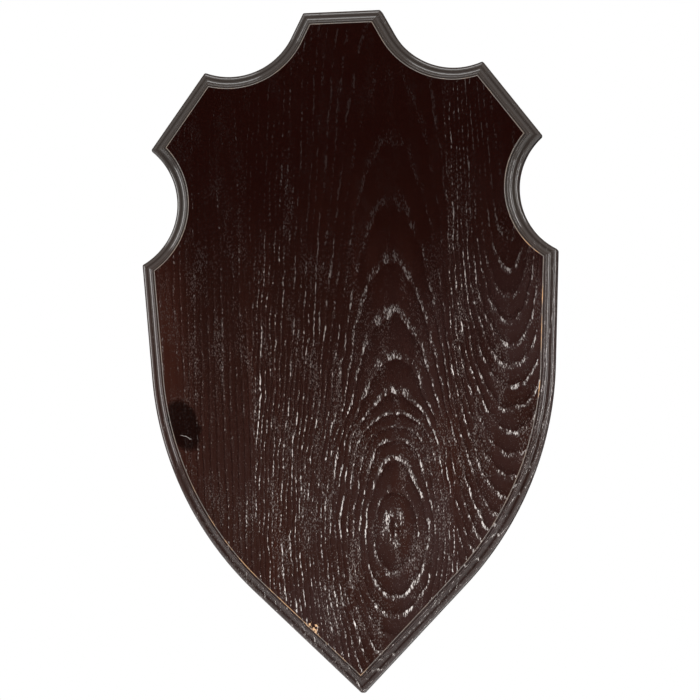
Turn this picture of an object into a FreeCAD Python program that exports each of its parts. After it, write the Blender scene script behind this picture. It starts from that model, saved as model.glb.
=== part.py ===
import FreeCAD, Part
import math
import os

import Sketcher

# Shield-shaped wooden plaque, millimetres.  The origin is on the back face, on the plane of
# symmetry, half way up.  +Z is up, the back looks towards +Y and the moulded front towards -Y.

DIMENSIONS = [
    # the glued board
    ("board_height", 450.0, "top edge to lower tip"),
    ("board_thickness", 20.0, "back face to front face"),
    ("centre_stave_width", 132.0, "glue line to glue line"),
    ("corner_round", 2.0, "every outer corner is sanded to this radius"),
    # the outline: half widths from the centre line, drops from the top edge
    ("top_half_width", 25.6, ""),
    ("neck_slope", -27.8, "degrees from the vertical, leaning outwards"),
    ("shoulder_half_width", 92.2, ""),
    ("shoulder_drop", 36.8, ""),
    ("neck_radius", 46.0, "hollow between the top and the shoulder"),
    ("horn_half_width", 129.8, ""),
    ("horn_drop", 87.2, ""),
    ("scallop_radius", 45.5, "hollow between the horn and the flank"),
    ("flank_half_width", 137.5, ""),
    ("flank_drop", 162.7, ""),
    ("flank_slope", 3.25, "degrees from the vertical, leaning inwards"),
    ("belly_radius", 219.5, ""),
    ("tip_slope", 45.0, "degrees from the vertical, leaning inwards"),
    # the moulding: depths below the front face, measured at right angles to the edge
    ("roll_radius", 2.9, "outer convex roll"),
    ("roll_depth", 9.0, "face to where the roll meets the side"),
    ("crest_width", 0.4, "flat between the roll and the cove"),
    ("cove_radius", 3.2, "concave part"),
    ("bead_radius", 0.75, "small bead beside the face"),
    ("bead_depth", 1.55, "face to the top of the bead"),
    ("ledge_width", 0.95, "flat between the bead and the step"),
    ("step_lean", 0.2, "how far the step leans in over its height"),
    # the D-ring hanger on the back
    ("pivot_height", 185.0, "ring pivot above the origin"),
    ("strap_width", 16.0, ""),
    ("strap_thickness", 1.2, ""),
    ("strap_length", 44.0, "pivot to lower end"),
    ("strap_end_radius", 7.9, ""),
    ("curl_end_angle", 65.0, "degrees of the eye left open"),
    ("wire_radius", 1.5, "ring wire"),
    ("eye_clearance", 0.3, "ring wire to rolled eye"),
    ("ring_bend_radius", 3.0, "centre line, at the ends of the bar"),
    ("ring_bow_radius", 12.0, "centre line of the bow"),
    ("ring_leg", 4.0, "straight leg between bend and bow"),
    # the two screws of the hanger
    ("upper_screw_drop", 26.0, "pivot to screw"),
    ("lower_screw_drop", 36.0, "pivot to screw"),
    ("strap_hole_radius", 2.1, ""),
    ("pilot_radius", 1.75, "hole in the wood"),
    ("pilot_depth", 13.5, ""),
    ("thread_radius", 1.7, "crest of the thread"),
    ("core_radius", 1.2, "root of the thread"),
    ("screw_length", 13.6, "under the head"),
    ("screw_point", 3.0, "length of the point"),
    ("thread_pitch", 1.3, ""),
    ("thread_turns", 7.0, ""),
    ("head_radius", 3.3, ""),
    ("head_rim", 0.7, "height of the head's straight rim"),
    ("head_height", 2.2, ""),
    ("recess_length", 3.4, ""),
    ("recess_width", 0.9, ""),
    ("recess_depth", 1.4, ""),
    # the two wall bumpers
    ("bumper_half_spacing", 50.0, ""),
    ("bumper_drop", 110.0, "below the origin"),
    ("bumper_radius", 6.0, ""),
    ("bumper_rim", 1.8, "height of the straight rim"),
    ("bumper_height", 5.0, ""),
    ("bumper_flat_radius", 2.5, ""),
]

# Ends of the sketch elements and of lines and arcs, as the sketcher numbers them.
START, END, CENTRE = 1, 2, 3
ORIGIN_POINT = (-1, 1)
HORIZONTAL_AXIS = -1
VERTICAL_AXIS = -2
CUTTER_OVERHANG = 2.0  # how far a moulding cutter's section reaches past the wood
CUTTER_RUNOUT = 25.0  # how far a straight cutter runs on past a corner, to cut the mitre
BELLY_PASSES = (0.85, 0.15)  # the belly is routed in two passes, as shares of its arc
SLAB_MARGIN = 5.0  # how far a stave's slab reaches past the board all round
THREAD_ROOTING = 0.2  # how far a thread ridge starts inside the screw's core
RIDGE_SHARE = 0.9  # the part of the pitch that a thread ridge fills
SHANK_OVERLAP = 0.5  # how far the screw's shank runs up into its head

doc = FreeCAD.newDocument("plaque")
sheet = doc.addObject("Spreadsheet::Sheet", "Sheet")
for row, (alias, value, meaning) in enumerate(DIMENSIONS, start=1):
    sheet.set(f"A{row}", alias)
    sheet.set(f"B{row}", str(value))
    sheet.set(f"C{row}", meaning)
    sheet.setAlias(f"B{row}", alias)
doc.recompute()


def size(alias):
    """A driving dimension, as a number."""
    return float(sheet.get(alias))


def origin_plane(body, role):
    """One of the origin planes or axes of a body, such as XZ_Plane."""
    return next(f for f in body.Origin.OriginFeatures if f.Role == role)


def new_body(name):
    body = doc.addObject("PartDesign::Body", name)
    body.Label = name
    return body


def new_sketch(body, name, plane):
    sketch = body.newObject("Sketcher::SketchObject", name)
    sketch.AttachmentSupport = [(origin_plane(body, plane), "")]
    sketch.MapMode = "FlatFace"
    return sketch


def constrain(sketch, *words, name=None, to=None):
    """Adds a constraint, and binds it to the sheet when it has a name and a formula."""
    index = sketch.addConstraint(Sketcher.Constraint(*words))
    if name:
        sketch.renameConstraint(index, name)
        sketch.setExpression(f"Constraints.{name}", to)


def add_line(sketch, start, end):
    points = [FreeCAD.Vector(x, y, 0) for x, y in (start, end)]
    return sketch.addGeometry(Part.LineSegment(*points), False)


def add_arc(sketch, centre, start, end):
    """An arc that runs anticlockwise from start to end; its radius comes from start."""
    radius = math.dist(centre, start)
    angles = [math.atan2(y - centre[1], x - centre[0]) for x, y in (start, end)]
    circle = Part.Circle(FreeCAD.Vector(*centre, 0), FreeCAD.Vector(0, 0, 1), radius)
    return sketch.addGeometry(Part.ArcOfCircle(circle, *angles), False)


def check_volume(feature, before, grows):
    """Stops if a feature added or removed nothing, which the kernel does not report."""
    doc.recompute()
    change = feature.Shape.Volume - before
    if abs(change) < 1e-3 or (change > 0) != grows:
        raise RuntimeError(f"{feature.Name} changed the volume by {change:.4f}")


# ---------------------------------------------------------------------------
# The board's outline
# ---------------------------------------------------------------------------

# The right side from the top's middle down to the tip: where each stretch ends (x, drop), the
# centre of its arc if it is one, and which way round it goes.  The tangent points and centres
# here only start the solver near its solution, which the constraints then settle.
RIGHT_SIDE = [
    ("top", (size("top_half_width"), 0.0), None, None),
    ("neck", (33.9, 15.8), None, None),
    ("neck_hollow", (size("shoulder_half_width"), size("shoulder_drop")),
     (74.6, -5.7), "anticlockwise"),
    ("shoulder", (size("horn_half_width"), size("horn_drop")), None, None),
    ("scallop", (size("flank_half_width"), size("flank_drop")), (158.6, 122.4), "anticlockwise"),
    ("flank", (133.2, 237.9), None, None),
    ("belly", (69.3, 380.7), (-85.9, 225.5), "clockwise"),
    ("tip", (0.0, size("board_height")), None, None),
]
TANGENT_JOINTS = {("neck", "neck_hollow"), ("flank", "belly"), ("belly", "tip")}
RADIUS_OF = {
    "neck_hollow": "neck_radius",
    "scallop": "scallop_radius",
    "belly": "belly_radius",
}


def draw_side(sketch, sign):
    """Draws one side of the outline.  Returns each stretch's element, first and last end."""
    half_height = size("board_height") / 2
    stretches = {}
    begin = (0.0, half_height)
    for name, (x, drop), centre, turn in RIGHT_SIDE:
        finish = (sign * x, half_height - drop)
        if centre is None:
            stretches[name] = (add_line(sketch, begin, finish), START, END)
        else:
            middle = (sign * centre[0], half_height - centre[1])
            if (turn == "anticlockwise") == (sign > 0):
                stretches[name] = (add_arc(sketch, middle, begin, finish), START, END)
            else:
                stretches[name] = (add_arc(sketch, middle, finish, begin), END, START)
        begin = finish
    return stretches


def join_side(sketch, stretches, tangent):
    """Joins each stretch to the next, smoothly where the outline has no corner."""
    names = list(stretches)
    for name, following in zip(names, names[1:]):
        element, _, last = stretches[name]
        next_element, first, _ = stretches[following]
        smooth = tangent and (name, following) in TANGENT_JOINTS
        kind = "Tangent" if smooth else "Coincident"
        constrain(sketch, kind, element, last, next_element, first)


def place_corner(sketch, stretch, top_point, corner):
    """Sets a corner's half width and its drop below the top edge from the sheet."""
    element, _, last = stretch
    constrain(sketch, "DistanceX", *ORIGIN_POINT, element, last, size(f"{corner}_half_width"),
              name=f"{corner}_half_width", to=f"Sheet.{corner}_half_width")
    constrain(sketch, "DistanceY", element, last, *top_point, size(f"{corner}_drop"),
              name=f"{corner}_drop", to=f"Sheet.{corner}_drop")


def slope_angle(sketch, stretch, name):
    """Sets a downward line's slope; the sketcher counts it from the horizontal."""
    degrees = -(90 + size(name))
    constrain(sketch, "Angle", stretch[0], math.radians(degrees),
              name=name, to=f"-(90 + Sheet.{name}) * 1 deg")


def outline_sketch(body):
    sketch = new_sketch(body, "outline", "XZ_Plane")
    right = draw_side(sketch, 1)
    left = draw_side(sketch, -1)
    join_side(sketch, right, tangent=True)
    join_side(sketch, left, tangent=False)
    top_point = (right["top"][0], START)
    constrain(sketch, "Coincident", *top_point, left["top"][0], START)
    constrain(sketch, "Coincident", right["tip"][0], END, left["tip"][0], END)

    half_height = size("board_height") / 2
    constrain(sketch, "PointOnObject", *top_point, VERTICAL_AXIS)
    constrain(sketch, "Horizontal", right["top"][0])
    constrain(sketch, "DistanceY", *ORIGIN_POINT, *top_point, half_height,
              name="top_height", to="Sheet.board_height / 2")
    constrain(sketch, "PointOnObject", right["tip"][0], END, VERTICAL_AXIS)
    constrain(sketch, "DistanceY", right["tip"][0], END, *ORIGIN_POINT, half_height,
              name="tip_depth", to="Sheet.board_height / 2")

    constrain(sketch, "DistanceX", *ORIGIN_POINT, right["top"][0], END, size("top_half_width"),
              name="top_half_width", to="Sheet.top_half_width")
    place_corner(sketch, right["neck_hollow"], top_point, "shoulder")
    place_corner(sketch, right["shoulder"], top_point, "horn")
    place_corner(sketch, right["scallop"], top_point, "flank")
    for name, alias in RADIUS_OF.items():
        constrain(sketch, "Radius", right[name][0], size(alias), name=alias, to=f"Sheet.{alias}")
        constrain(sketch, "Equal", right[name][0], left[name][0])
    slope_angle(sketch, right["neck"], "neck_slope")
    slope_angle(sketch, right["flank"], "flank_slope")
    slope_angle(sketch, right["tip"], "tip_slope")

    for name in list(right)[:-1]:
        constrain(sketch, "Symmetric", right[name][0], right[name][2],
                  left[name][0], left[name][2], VERTICAL_AXIS)
    return sketch, right


# ---------------------------------------------------------------------------
# The moulding cutters.  Away from the edge their section only ever gets shallower, so a cutter
# that runs on past a corner takes nothing but the mitre.
# ---------------------------------------------------------------------------


def quarter(sketch, arc, low_x, high_x, alias):
    """Makes an arc a quarter circle between its end with the lower x and its other end."""
    constrain(sketch, "Radius", arc, size(alias), name=f"{alias}_arc", to=f"Sheet.{alias}")
    constrain(sketch, "DistanceX", arc, low_x, arc, high_x, size(alias),
              name=f"{alias}_across", to=f"Sheet.{alias}")
    constrain(sketch, "DistanceY", arc, high_x, arc, low_x, size(alias),
              name=f"{alias}_down", to=f"Sheet.{alias}")


def moulding_section():
    """The cutter's section: x is the distance in from the edge, y the depth below the face."""
    section = doc.addObject("Sketcher::SketchObject", "moulding_section")
    over = CUTTER_OVERHANG
    low = size("roll_depth")
    crest_depth = low - size("roll_radius")
    crest_in = size("roll_radius")
    cove_in = crest_in + size("crest_width")
    riser_in = cove_in + size("cove_radius")
    cove_depth = crest_depth - size("cove_radius")
    bead_in = riser_in + size("bead_radius")
    bead_depth = size("bead_depth")
    foot_depth = bead_depth + size("bead_radius")
    step_in = bead_in + size("ledge_width")
    top_in = step_in + size("step_lean")

    shelf = add_line(section, (-over, low), (0, low))
    roll = add_arc(section, (crest_in, low), (0, low), (crest_in, crest_depth))
    crest = add_line(section, (crest_in, crest_depth), (cove_in, crest_depth))
    cove = add_arc(section, (cove_in, cove_depth), (riser_in, cove_depth), (cove_in, crest_depth))
    riser = add_line(section, (riser_in, cove_depth), (riser_in, foot_depth))
    bead = add_arc(section, (bead_in, foot_depth), (riser_in, foot_depth), (bead_in, bead_depth))
    ledge = add_line(section, (bead_in, bead_depth), (step_in, bead_depth))
    step = add_line(section, (step_in, bead_depth), (top_in, -over))
    cover = add_line(section, (top_in, -over), (-over, -over))
    closing = add_line(section, (-over, -over), (-over, low))

    for element, end, following, start in (
        (shelf, END, roll, START),
        (roll, END, crest, START),
        (crest, END, cove, END),
        (cove, START, riser, START),
        (riser, END, bead, START),
        (bead, END, ledge, START),
        (ledge, END, step, START),
        (step, END, cover, START),
        (cover, END, closing, START),
        (closing, END, shelf, START),
    ):
        constrain(section, "Coincident", element, end, following, start)
    for level in (shelf, crest, ledge, cover):
        constrain(section, "Horizontal", level)
    for upright in (riser, closing):
        constrain(section, "Vertical", upright)
    quarter(section, roll, START, END, "roll_radius")
    quarter(section, cove, END, START, "cove_radius")
    quarter(section, bead, START, END, "bead_radius")

    constrain(section, "PointOnObject", shelf, END, VERTICAL_AXIS)
    constrain(section, "DistanceY", *ORIGIN_POINT, shelf, END, low,
              name="roll_depth", to="Sheet.roll_depth")
    constrain(section, "DistanceX", shelf, START, shelf, END, over)
    constrain(section, "DistanceY", closing, START, *ORIGIN_POINT, over)
    constrain(section, "DistanceX", crest, START, crest, END, size("crest_width"),
              name="crest_width", to="Sheet.crest_width")
    constrain(section, "DistanceY", *ORIGIN_POINT, bead, END, bead_depth,
              name="bead_depth", to="Sheet.bead_depth")
    constrain(section, "DistanceX", ledge, START, ledge, END, size("ledge_width"),
              name="ledge_width", to="Sheet.ledge_width")
    constrain(section, "DistanceX", step, START, step, END, size("step_lean"),
              name="step_lean", to="Sheet.step_lean")
    return section


def place_cutter(cutter, start, inward):
    """Stands a cutter's section on the front face at a point of the edge, across the edge."""
    degrees = math.degrees(math.atan2(-inward[1], inward[0]))
    cutter.Placement = FreeCAD.Placement(
        FreeCAD.Vector(start[0], -size("board_thickness"), start[1]),
        FreeCAD.Rotation(FreeCAD.Vector(0, 1, 0), degrees))


def straight_cutter(name, section, start, end, run_in, run_out):
    """Cuts along a straight edge, which runs clockwise as the front is seen."""
    length = math.dist(start, end)
    along = ((end[0] - start[0]) / length, (end[1] - start[1]) / length)
    cutter = doc.addObject("Part::Extrusion", f"{name}_cutter")
    cutter.Base = section
    cutter.DirMode = "Custom"
    cutter.Dir = FreeCAD.Vector(0, 0, 1)
    cutter.LengthFwd = run_in + length + run_out
    cutter.Solid = True
    place_cutter(cutter, (start[0] - along[0] * run_in, start[1] - along[1] * run_in),
                 (along[1], -along[0]))
    return cutter


def round_cutter(name, section, centre, start, hollow, angle):
    """Cuts along an arc: right round in a hollow, else clockwise from start by an angle."""
    radius = math.dist(centre, start)
    sign = 1 if hollow else -1
    inward = (sign * (start[0] - centre[0]) / radius, sign * (start[1] - centre[1]) / radius)
    cutter = doc.addObject("Part::Revolution", f"{name}_cutter")
    cutter.Source = section
    cutter.Axis = FreeCAD.Vector(0, 1, 0)
    cutter.setExpression("Base.x", f"{-sign} * Sheet.{RADIUS_OF[name]}")
    cutter.setExpression("Angle", angle)
    cutter.Solid = True
    place_cutter(cutter, start, inward)
    return cutter


def belly_cutters(section, centre, start):
    """Two passes, so that the long thin face of the bead stops short of the glue line."""
    turned = math.radians(size("tip_slope") - size("flank_slope"))
    first_angle = math.atan2(start[1] - centre[1], start[0] - centre[0])
    radius = math.dist(centre, start)
    cutters = []
    done = 0.0
    for share in BELLY_PASSES:
        angle = first_angle - done * turned
        begin = (centre[0] + radius * math.cos(angle), centre[1] + radius * math.sin(angle))
        formula = f"{share} * (Sheet.tip_slope - Sheet.flank_slope)"
        cutters.append(round_cutter("belly", section, centre, begin, False, formula))
        done += share
    return cutters


def right_cutters(section, outline, stretches):
    """The cutters for each stretch of the right side, placed on the solved outline."""
    run_outs = {
        "neck": (CUTTER_RUNOUT, 0.0),  # its lower end meets the hollow smoothly
        "flank": (CUTTER_RUNOUT, 0.0),
        "tip": (0.0, CUTTER_RUNOUT),
    }
    cutters = []
    for name, (element, first, last) in stretches.items():
        drawn = outline.Geometry[element]
        ends = {START: drawn.StartPoint, END: drawn.EndPoint}
        start, end = ((ends[which].x, ends[which].y) for which in (first, last))
        if name == "belly":
            cutters += belly_cutters(section, (drawn.Center.x, drawn.Center.y), start)
        elif name in RADIUS_OF:
            centre = (drawn.Center.x, drawn.Center.y)
            cutters.append(round_cutter(name, section, centre, start, True, "360"))
        else:
            run_in, run_out = run_outs.get(name, (CUTTER_RUNOUT, CUTTER_RUNOUT))
            cutters.append(straight_cutter(name, section, start, end, run_in, run_out))
    return cutters


# ---------------------------------------------------------------------------
# The moulded board, before it is told apart into staves
# ---------------------------------------------------------------------------


def sharp_corner_edges(shape):
    """Names of the thickness-wise edges at the outline's corners, in a padded board."""
    half_height = size("board_height") / 2
    corners = [
        (size("top_half_width"), 0.0),
        (size("shoulder_half_width"), size("shoulder_drop")),
        (size("horn_half_width"), size("horn_drop")),
        (size("flank_half_width"), size("flank_drop")),
        (0.0, size("board_height")),
    ]
    places = [(sign * x, half_height - drop) for x, drop in corners for sign in (1, -1)]
    names = []
    for index, edge in enumerate(shape.Edges, start=1):
        first, last = edge.Vertexes[0].Point, edge.Vertexes[-1].Point
        if math.hypot(first.x - last.x, first.z - last.z) > 1e-4:
            continue
        if any(math.hypot(first.x - x, first.z - z) < 1e-2 for x, z in places):
            names.append(f"Edge{index}")
    return names


def drill(body, name, radius_alias, depth_alias=None):
    """Holes for the two hanger screws.  Without a depth they go right through both ways."""
    sketch = new_sketch(body, f"{name}_places", "XZ_Plane")
    in_board = depth_alias is not None
    lift = size("pivot_height") if in_board else 0.0
    lift_formula = "Sheet.pivot_height" if in_board else "0"
    for which in ("upper", "lower"):
        drop = f"{which}_screw_drop"
        centre = FreeCAD.Vector(0, lift - size(drop), 0)
        hole = sketch.addGeometry(
            Part.Circle(centre, FreeCAD.Vector(0, 0, 1), size(radius_alias)), False)
        constrain(sketch, "Radius", hole, size(radius_alias),
                  name=f"{which}_radius", to=f"Sheet.{radius_alias}")
        constrain(sketch, "PointOnObject", hole, CENTRE, VERTICAL_AXIS)
        constrain(sketch, "DistanceY", hole, CENTRE, *ORIGIN_POINT, size(drop) - lift,
                  name=f"{which}_drop", to=f"Sheet.{drop} - {lift_formula}")
    volume_before = body.Shape.Volume
    holes = body.newObject("PartDesign::Pocket", name)
    holes.Profile = sketch
    if depth_alias:
        holes.setExpression("Length", f"Sheet.{depth_alias}")
        holes.Reversed = True
    else:
        holes.Type = "ThroughAll"
        holes.Midplane = True
    check_volume(holes, volume_before, grows=False)


def make_blank():
    """The glued-up board: sawn to the outline, corners eased, pilot holes drilled."""
    body = new_body("blank")
    outline, stretches = outline_sketch(body)
    sawn = body.newObject("PartDesign::Pad", "sawn_board")
    sawn.Profile = outline
    sawn.setExpression("Length", "Sheet.board_thickness")
    doc.recompute()
    eased = body.newObject("PartDesign::Fillet", "eased_corners")
    eased.Base = (sawn, sharp_corner_edges(sawn.Shape))
    eased.setExpression("Radius", "Sheet.corner_round")
    check_volume(eased, sawn.Shape.Volume, grows=False)
    drill(body, "pilot_holes", "pilot_radius", "pilot_depth")
    return body, outline, stretches


def make_panel():
    """The blank with its front edge routed, stretch by stretch."""
    board, outline, stretches = make_blank()
    cutters = right_cutters(moulding_section(), outline, stretches)
    for cutter in list(cutters):
        mirrored = doc.addObject("Part::Mirroring", f"left_{cutter.Name}")
        mirrored.Source = cutter
        mirrored.Normal = FreeCAD.Vector(1, 0, 0)
        cutters.append(mirrored)
    for cutter in cutters:
        routed = doc.addObject("Part::Cut", f"after_{cutter.Name}")
        routed.Base = board
        routed.Tool = cutter
        check_volume(routed, board.Shape.Volume, grows=False)
        board = routed
    return board


def make_stave(name, panel, low_x, width):
    """The part of the moulded board between two glue lines."""
    slab = doc.addObject("Part::Box", f"{name}_slab")
    slab.setExpression("Length", width)
    slab.setExpression("Width", f"Sheet.board_thickness + {2 * SLAB_MARGIN}")
    slab.setExpression("Height", f"Sheet.board_height + {2 * SLAB_MARGIN}")
    slab.setExpression("Placement.Base.x", low_x)
    slab.setExpression("Placement.Base.y", f"-Sheet.board_thickness - {SLAB_MARGIN}")
    slab.setExpression("Placement.Base.z", f"-Sheet.board_height / 2 - {SLAB_MARGIN}")
    stave = doc.addObject("Part::Common", name)
    stave.Base = panel
    stave.Tool = slab
    stave.Label = name
    return stave


def make_staves(panel):
    """The centre stave and the left one are cut from the board; the right one mirrors the left."""
    left = make_stave("stave_left", panel,
                      f"-Sheet.flank_half_width - {SLAB_MARGIN}",
                      f"Sheet.flank_half_width + {SLAB_MARGIN} - Sheet.centre_stave_width / 2")
    centre = make_stave("stave_centre", panel,
                        "-Sheet.centre_stave_width / 2", "Sheet.centre_stave_width")
    right = doc.addObject("Part::Mirroring", "stave_right")
    right.Source = left
    right.Normal = FreeCAD.Vector(1, 0, 0)
    right.Label = "stave_right"
    return [left, centre, right]


# ---------------------------------------------------------------------------
# The D-ring hanger.  Both pieces are drawn round the ring's pivot.
# ---------------------------------------------------------------------------

EYE_RADIUS = "(Sheet.wire_radius + Sheet.eye_clearance)"
PIVOT_REACH = "(Sheet.wire_radius + Sheet.eye_clearance + Sheet.strap_thickness)"


def make_strap():
    """A strip of steel whose upper end is rolled round the ring's bar."""
    body = new_body("hanger_strap")
    sketch = new_sketch(body, "strap_side", "YZ_Plane")
    inner = size("wire_radius") + size("eye_clearance")
    outer = inner + size("strap_thickness")
    bottom = -size("strap_length")
    open_to = math.radians(-180 + size("curl_end_angle"))

    def round_eye(radius, angle):
        return (outer + radius * math.cos(angle), radius * math.sin(angle))

    back = add_line(sketch, (0, bottom), (0, 0))
    outside = add_arc(sketch, (outer, 0), round_eye(outer, open_to), (0, 0))
    lip = add_line(sketch, round_eye(outer, open_to), round_eye(inner, open_to))
    inside = add_arc(sketch, (outer, 0), round_eye(inner, open_to), round_eye(inner, math.pi))
    front = add_line(sketch, (outer - inner, 0), (outer - inner, bottom))
    foot = add_line(sketch, (outer - inner, bottom), (0, bottom))

    constrain(sketch, "Tangent", back, END, outside, END)
    constrain(sketch, "Coincident", outside, START, lip, START)
    constrain(sketch, "Coincident", lip, END, inside, START)
    constrain(sketch, "Tangent", inside, END, front, START)
    constrain(sketch, "Coincident", front, END, foot, START)
    constrain(sketch, "Coincident", foot, END, back, START)
    constrain(sketch, "Coincident", inside, CENTRE, outside, CENTRE)
    constrain(sketch, "Vertical", back)
    constrain(sketch, "Horizontal", foot)
    constrain(sketch, "Coincident", back, END, *ORIGIN_POINT)
    constrain(sketch, "Radius", inside, inner, name="eye_radius", to=EYE_RADIUS)
    constrain(sketch, "Radius", outside, outer, name="roll_outside", to=PIVOT_REACH)
    constrain(sketch, "DistanceY", foot, END, *ORIGIN_POINT, -bottom,
              name="strap_length", to="Sheet.strap_length")
    constrain(sketch, "Angle", lip, math.pi + open_to,
              name="lip_angle", to="Sheet.curl_end_angle * 1 deg")

    strip = body.newObject("PartDesign::Pad", "strip")
    strip.Profile = sketch
    strip.Midplane = True
    strip.setExpression("Length", "Sheet.strap_width")
    doc.recompute()

    ends = []
    for index, edge in enumerate(strip.Shape.Edges, start=1):
        first, last = edge.Vertexes[0].Point, edge.Vertexes[-1].Point
        at_the_foot = max(abs(first.z - bottom), abs(last.z - bottom)) < 1e-4
        if at_the_foot and abs(first.x - last.x) < 1e-4:
            ends.append(f"Edge{index}")
    rounded = body.newObject("PartDesign::Fillet", "rounded_end")
    rounded.Base = (strip, ends)
    rounded.setExpression("Radius", "Sheet.strap_end_radius")
    check_volume(rounded, strip.Shape.Volume, grows=False)

    drill(body, "screw_holes", "strap_hole_radius")
    body.setExpression("Placement.Base.z", "Sheet.pivot_height")
    return body


def make_ring():
    """A D-shaped wire ring, hanging down from its bar."""
    body = new_body("hanger_ring")
    path = new_sketch(body, "ring_path", "XZ_Plane")
    bend = size("ring_bend_radius")
    bow = size("ring_bow_radius")
    leg_end = -bend - size("ring_leg")
    bar_right = add_line(path, (0, 0), (bow - bend, 0))
    bend_right = add_arc(path, (bow - bend, -bend), (bow, -bend), (bow - bend, 0))
    leg_right = add_line(path, (bow, -bend), (bow, leg_end))
    bow_arc = add_arc(path, (0, leg_end), (-bow, leg_end), (bow, leg_end))
    leg_left = add_line(path, (-bow, leg_end), (-bow, -bend))
    bend_left = add_arc(path, (bend - bow, -bend), (bend - bow, 0), (-bow, -bend))
    bar_left = add_line(path, (bend - bow, 0), (0, 0))

    constrain(path, "Coincident", bar_right, START, *ORIGIN_POINT)
    constrain(path, "Coincident", bar_left, END, bar_right, START)
    constrain(path, "Horizontal", bar_right)
    constrain(path, "Horizontal", bar_left)
    constrain(path, "Tangent", bar_right, END, bend_right, END)
    constrain(path, "Tangent", bend_right, START, leg_right, START)
    constrain(path, "Tangent", leg_right, END, bow_arc, END)
    constrain(path, "Tangent", bow_arc, START, leg_left, START)
    constrain(path, "Tangent", leg_left, END, bend_left, END)
    constrain(path, "Tangent", bend_left, START, bar_left, START)
    constrain(path, "Vertical", leg_right)
    constrain(path, "Equal", bend_left, bend_right)
    constrain(path, "PointOnObject", bow_arc, CENTRE, VERTICAL_AXIS)
    constrain(path, "Radius", bend_right, bend, name="bend_radius", to="Sheet.ring_bend_radius")
    constrain(path, "Radius", bow_arc, bow, name="bow_radius", to="Sheet.ring_bow_radius")
    constrain(path, "DistanceY", leg_right, END, leg_right, START, size("ring_leg"),
              name="leg", to="Sheet.ring_leg")

    section = new_sketch(body, "ring_section", "YZ_Plane")
    circle = section.addGeometry(
        Part.Circle(FreeCAD.Vector(0, 0, 0), FreeCAD.Vector(0, 0, 1), size("wire_radius")), False)
    constrain(section, "Coincident", circle, CENTRE, *ORIGIN_POINT)
    constrain(section, "Radius", circle, size("wire_radius"), name="wire", to="Sheet.wire_radius")

    wire = body.newObject("PartDesign::AdditivePipe", "wire")
    wire.Profile = section
    wire.Spine = (path, [""])
    doc.recompute()
    body.setExpression("Placement.Base.y", PIVOT_REACH)
    body.setExpression("Placement.Base.z", "Sheet.pivot_height")
    return body


# ---------------------------------------------------------------------------
# Screws and bumpers, turned round an axis that stands on the back face
# ---------------------------------------------------------------------------


def chain_lines(sketch, points):
    """A closed run of lines through the points, joined end to end."""
    closed = list(zip(points, points[1:] + points[:1]))
    lines = [add_line(sketch, start, end) for start, end in closed]
    for line, following in zip(lines, lines[1:] + lines[:1]):
        constrain(sketch, "Coincident", line, END, following, START)
    return lines


def fix_point(sketch, element, point, name, along=None, out=None):
    """Places a point: along the turning axis and out from it, each a value and a formula."""
    if along is not None:
        value, formula = along
        constrain(sketch, "DistanceX", *ORIGIN_POINT, element, point, value,
                  name=f"{name}_along", to=formula)
    if out is not None:
        value, formula = out
        constrain(sketch, "DistanceY", *ORIGIN_POINT, element, point, value,
                  name=f"{name}_out", to=formula)


def turn(body, sketch, name):
    turned = body.newObject("PartDesign::Revolution", name)
    turned.Profile = sketch
    turned.ReferenceAxis = (sketch, ["H_Axis"])
    turned.Angle = 360
    doc.recompute()
    return turned


def add_shank(body, name):
    """The core of the screw, from its point up into the head."""
    length, point, core = size("screw_length"), size("screw_point"), size("core_radius")
    top = SHANK_OVERLAP
    half = new_sketch(body, f"{name}_shank_half", "YZ_Plane")
    lines = chain_lines(half, [(-length, 0), (point - length, core), (top, core), (top, 0)])
    constrain(half, "PointOnObject", lines[0], START, HORIZONTAL_AXIS)
    constrain(half, "PointOnObject", lines[3], START, HORIZONTAL_AXIS)
    fix_point(half, lines[0], START, "point", along=(-length, "-Sheet.screw_length"))
    fix_point(half, lines[0], END, "core",
              along=(point - length, "Sheet.screw_point - Sheet.screw_length"),
              out=(core, "Sheet.core_radius"))
    constrain(half, "Horizontal", lines[1])
    constrain(half, "Vertical", lines[2])
    fix_point(half, lines[2], START, "neck", along=(top, f"{top}"))
    turn(body, half, f"{name}_shank")


def add_head(body, name):
    """A flat seat, a short straight rim and a domed top."""
    head, rim, top = size("head_radius"), size("head_rim"), size("head_height")
    crown = (head ** 2 + (top - rim) ** 2) / (2 * (top - rim))
    half = new_sketch(body, f"{name}_head_half", "YZ_Plane")
    seat = add_line(half, (0, 0), (0, head))
    side = add_line(half, (0, head), (rim, head))
    dome = add_arc(half, (top - crown, 0), (top, 0), (rim, head))
    axis = add_line(half, (top, 0), (0, 0))
    constrain(half, "Coincident", seat, END, side, START)
    constrain(half, "Coincident", side, END, dome, END)
    constrain(half, "Coincident", dome, START, axis, START)
    constrain(half, "Coincident", axis, END, seat, START)
    constrain(half, "Coincident", seat, START, *ORIGIN_POINT)
    constrain(half, "Vertical", seat)
    constrain(half, "Horizontal", side)
    constrain(half, "Horizontal", axis)
    constrain(half, "PointOnObject", dome, CENTRE, HORIZONTAL_AXIS)
    fix_point(half, side, END, "rim",
              along=(rim, "Sheet.head_rim"), out=(head, "Sheet.head_radius"))
    fix_point(half, dome, START, "crown", along=(top, "Sheet.head_height"))
    turn(body, half, f"{name}_head")


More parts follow.
